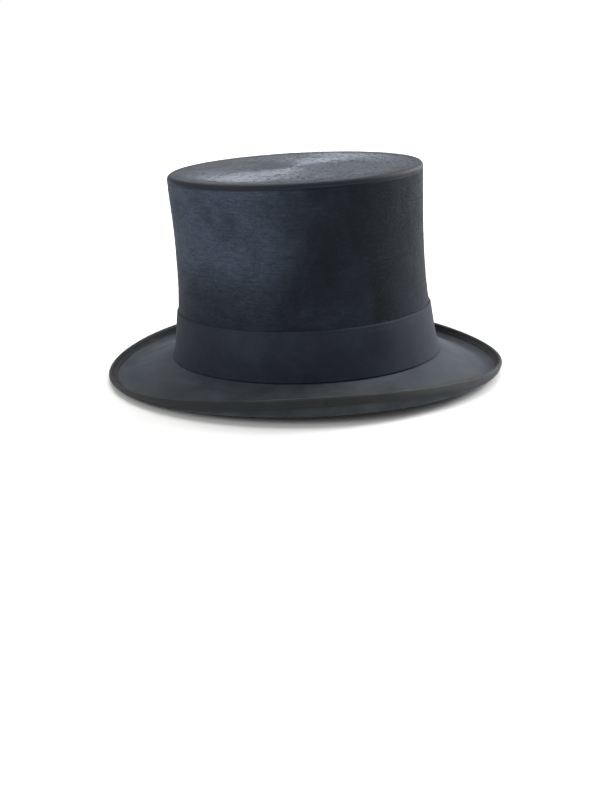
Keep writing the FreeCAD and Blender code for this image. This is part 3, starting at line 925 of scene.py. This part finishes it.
for side, direction in (("front", 1.0), ("back", -1.0)):
    loop = bow_loop(f"band_bow_{side}_loop", over_band, direction * BOW_HALF_LENGTH, BOW_HALF_HEIGHT,
                    0.9 * MM, BOW_RIBBON, 0.10 * MM)
    place(loop, bow_look, "band_ribbon", "band_bow_loops")
    small = bow_loop(f"sweatband_bow_{side}_loop", inside_back, direction * INNER_BOW_HALF_LENGTH,
                     INNER_BOW_HALF_HEIGHT, 0.7 * MM, INNER_RIBBON, 0.06 * MM)
    place(small, bow_look, "sweat_ribbon", "sweatband_bow")
knot = bow_knot("band_bow_wrap", over_band, KNOT_HALF_LENGTH, KNOT_HALF_HEIGHT, 2.1 * MM, BOW_RIBBON)
place(knot, bow_look, "band_ribbon", "band_bow_knot")
small_knot = bow_knot("sweatband_bow_wrap", inside_back, INNER_KNOT_HALF_LENGTH, INNER_KNOT_HALF_HEIGHT,
                      1.5 * MM, INNER_RIBBON)
place(small_knot, bow_look, "sweat_ribbon")

# ---------------------------------------------------------------- sweatband and linings


def sweatband_cover():
    """Leather with a skived top edge, a pressed line below it and the creases of long wear."""
    shares = np.linspace(0.0, SWEAT_SHARE, 80)
    across = shares[:, None] / SWEAT_SHARE
    waves = (np.sin(17 * ROUND + 3.0 * across) * np.sin(5 * ROUND + 1.3)
             + 0.6 * np.sin(31 * ROUND - 5.0 * across + 2))
    crease = 0.38 * MM * (1.0 + 0.6 * waves) * np.sin(math.pi * across) ** 0.8
    line = 0.22 * MM * np.exp(-((across - 0.945) / 0.008) ** 2)
    skived = 0.65 * LEATHER * np.clip((across - 0.975) / 0.025, 0.0, 1.0)
    lift = (0.45 * MM * np.sin(4 * ROUND + 0.5) + 0.25 * MM * np.sin(9 * ROUND)) * across ** 3
    outside = SWEAT_INSET + crease
    return crown_wall("sweatband_leather", shares, lift, outside, outside + LEATHER - line - skived)


def side_lining_cover():
    """Satin gathered into fine upright folds, deeper towards the tip."""
    shares = np.linspace(BAND_SHARE, 1.0, 90)
    across = (shares[:, None] - BAND_SHARE) / (1.0 - BAND_SHARE)
    lift = -3.5 * MM * across
    drift = 0.9 * np.sin(3 * ROUND + 2.0 * across) + 0.5 * np.sin(7 * ROUND - 1.5 * across)
    folds = 0.5 + 0.5 * np.sin(72 * ROUND + drift)
    depth = MM * (0.25 + 1.15 * across ** 1.4) * folds
    thick = 0.35 * MM
    return crown_wall("side_lining_satin", shares, lift, LINING_INSET + depth, LINING_INSET + depth + thick)


def tip_lining_cover():
    """Oval of satin under the tip, with small gathers running in from its rim."""
    angle = ROUND[0]
    rim = crown_point(angle, 1.0, LINING_INSET + 0.1 * MM, -2.8 * MM)
    middle = rim.mean(axis=0)
    rows = []
    for share in np.linspace(0.0, 1.0, 60):
        row = middle + (rim - middle) * share
        sag = 0.9 * MM * (1.0 - share ** 2)
        gathers = 0.45 * MM * (0.5 + 0.5 * np.sin(72 * angle + 4.0 * share)) * share ** 3
        row[:, 2] -= sag + gathers
        rows.append(row)
    rows = np.array(rows)
    thick = np.array([0.0, 0.0, 0.35 * MM])
    return disc_mesh("tip_lining_satin", np.concatenate([rows, rows[::-1] - thick]))


leather = place(sweatband_cover(), leather_look, "sweat_leather", "sweatband")
side_satin = place(side_lining_cover(), satin_look, "lining_satin", "side_lining")
tip_satin = place(tip_lining_cover(), satin_look, "lining_satin", "tip_lining")

REED_INSET = SWEAT_INSET + 0.5 * LEATHER
REED_LIFT = REED + REED_TAPE - 2 * COVER - BOARD


def head_point(angle, inset, lift):
    """Point round the head opening, inset from the plush and lifted from the crown's foot."""
    x = (HALF_LENGTHS[0] - inset) * np.cos(angle)
    y = (HALF_LENGTHS[0] * OVAL_RATIO - inset) * np.sin(angle)
    return np.stack([x, y, BASE_LEVEL + lift + x * math.tan(math.radians(BASE_TILT))], axis=-1)


def folded_tape():
    """Oilcloth tape folded round the cane, open along the side where its two edges meet."""
    turns = np.linspace(0.10, TAU - 0.10, 22)
    lines = []
    for half in (REED + REED_TAPE, REED + 0.08 * MM):
        line = []
        for turn in turns:
            over = np.sign(math.cos(turn)) * abs(math.cos(turn)) ** 0.6
            rise = np.sign(math.sin(turn)) * abs(math.sin(turn)) ** 0.8
            pucker = 0.06 * MM * np.sin(90 * ROUND[0] + 2.0 * turn)
            line.append(head_point(ROUND[0], REED_INSET + half * over, REED_LIFT + half * rise + pucker))
        lines.append(np.array(line))
    return ring_mesh("reed_tape_fold", np.concatenate([lines[0], lines[1][::-1]]))


def leather_stitches():
    """Slanted stitches that hold the leather to its tape."""
    count = 190
    angle = angles_round(count)
    inset = REED_INSET + 0.5 * LEATHER + 0.15 * MM
    here = head_point(angle, inset, REED_LIFT + REED + REED_TAPE + 2.3 * MM)
    along = unit(head_point(angle + 0.01, inset, 0.0) - head_point(angle, inset, 0.0))
    slant = np.where(np.arange(count) % 2 == 0, 0.55, -0.55)[:, None] * np.array([0.0, 0.0, 1.0])
    outward = np.stack([-np.cos(angle), -np.sin(angle), np.zeros(count)], axis=-1)
    return stitches("sweatband_stitches", here, along + slant, outward, 2.2 * MM, 0.36 * MM)


place(folded_tape(), oilcloth_look, "reed_oilcloth", "reed_tape")
place(leather_stitches(), buff_thread_look, "leather_thread", "sweatband_stitching")

# ---------------------------------------------------------------- what stays as its CAD node

KEPT = {
    "crown_side_shell": gossamer_look,
    "crown_tip_shell": gossamer_look,
    "brim_board": gossamer_look,
    "brim_collar": gossamer_look,
    "size_ticket": card_look,
    "sweatband_reed": cane_look,
}
for node, look in KEPT.items():
    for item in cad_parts[node].material_slots:
        item.material = look

# ---------------------------------------------------------------- floor, light and camera


def stage_floor():
    size = 6.0
    corners = [(-size, -size, 0), (size, -size, 0), (size, size, 0), (-size, size, 0)]
    floor = mesh_object("floor", corners, [(0, 1, 2, 3)])
    floor.location.z = -0.0005
    m = Nodes("floor")
    m.shader.inputs["Base Color"].default_value = (0.86, 0.86, 0.85, 1.0)
    m.shader.inputs["Roughness"].default_value = 0.9
    away = m.node("ShaderNodeVectorMath", operation="LENGTH")
    m.link(m.coordinate("Object"), away.inputs[0])
    glow = m.node("ShaderNodeMapRange", in_From_Min=0.35, in_From_Max=1.6, in_To_Max=0.75)
    m.link(away.outputs["Value"], glow.inputs["Value"])
    m.shader.inputs["Emission Color"].default_value = (1.0, 1.0, 1.0, 1.0)
    m.link(glow.outputs["Result"], m.shader.inputs["Emission Strength"])
    floor.data.materials.append(m.material)


def area_light(name, where, target, size, power, tint=(1.0, 1.0, 1.0)):
    data = bpy.data.lights.new(name, "AREA")
    data.shape = "RECTANGLE"
    data.size = size[0]
    data.size_y = size[1]
    data.energy = power
    data.color = tint
    lamp = bpy.data.objects.new(name, data)
    lamp.location = where
    lamp.rotation_euler = (Vector(target) - Vector(where)).to_track_quat("-Z", "Y").to_euler()
    bpy.context.scene.collection.objects.link(lamp)


stage_floor()
world = bpy.data.worlds.new("studio")
world.use_nodes = True
SKY_LIGHT = 0.45
background = world.node_tree.nodes["Background"]
seen = world.node_tree.nodes.new("ShaderNodeLightPath")
strength = world.node_tree.nodes.new("ShaderNodeMapRange")
strength.inputs["To Min"].default_value = SKY_LIGHT
strength.inputs["To Max"].default_value = 1.0
world.node_tree.links.new(seen.outputs["Is Camera Ray"], strength.inputs["Value"])
world.node_tree.links.new(strength.outputs["Result"], background.inputs["Strength"])
background.inputs["Color"].default_value = (1.0, 1.0, 1.0, 1.0)
bpy.context.scene.world = world
bpy.context.scene.view_settings.view_transform = "Standard"
area_light("overhead", (0.15, 0.55, 1.5), (0, 0, 0.08), (1.6, 1.6), 30.0)
area_light("key", (-1.15, -0.55, 0.75), (0, 0, 0.08), (0.6, 0.8), 7.0)
area_light("rim", (1.15, 0.25, 0.55), (0, 0, 0.08), (0.4, 0.8), 19.0)

CAMERA_TURN = math.radians(-13.4)
CAMERA_PITCH = math.radians(19.09)
CAMERA_DISTANCE = 0.905
CAMERA_TARGET = Vector((-0.0058, 0.0014, -0.0258))
camera_data = bpy.data.cameras.new("camera")
camera_data.sensor_width = 36.0
camera_data.lens = 51.26
camera = bpy.data.objects.new("camera", camera_data)
back = Vector((math.sin(CAMERA_TURN) * math.cos(CAMERA_PITCH),
               -math.cos(CAMERA_TURN) * math.cos(CAMERA_PITCH),
               math.sin(CAMERA_PITCH)))
camera.location = CAMERA_TARGET + back * CAMERA_DISTANCE
camera.rotation_euler = (-back).to_track_quat("-Z", "Y").to_euler()
bpy.context.scene.collection.objects.link(camera)
bpy.context.scene.camera = camera
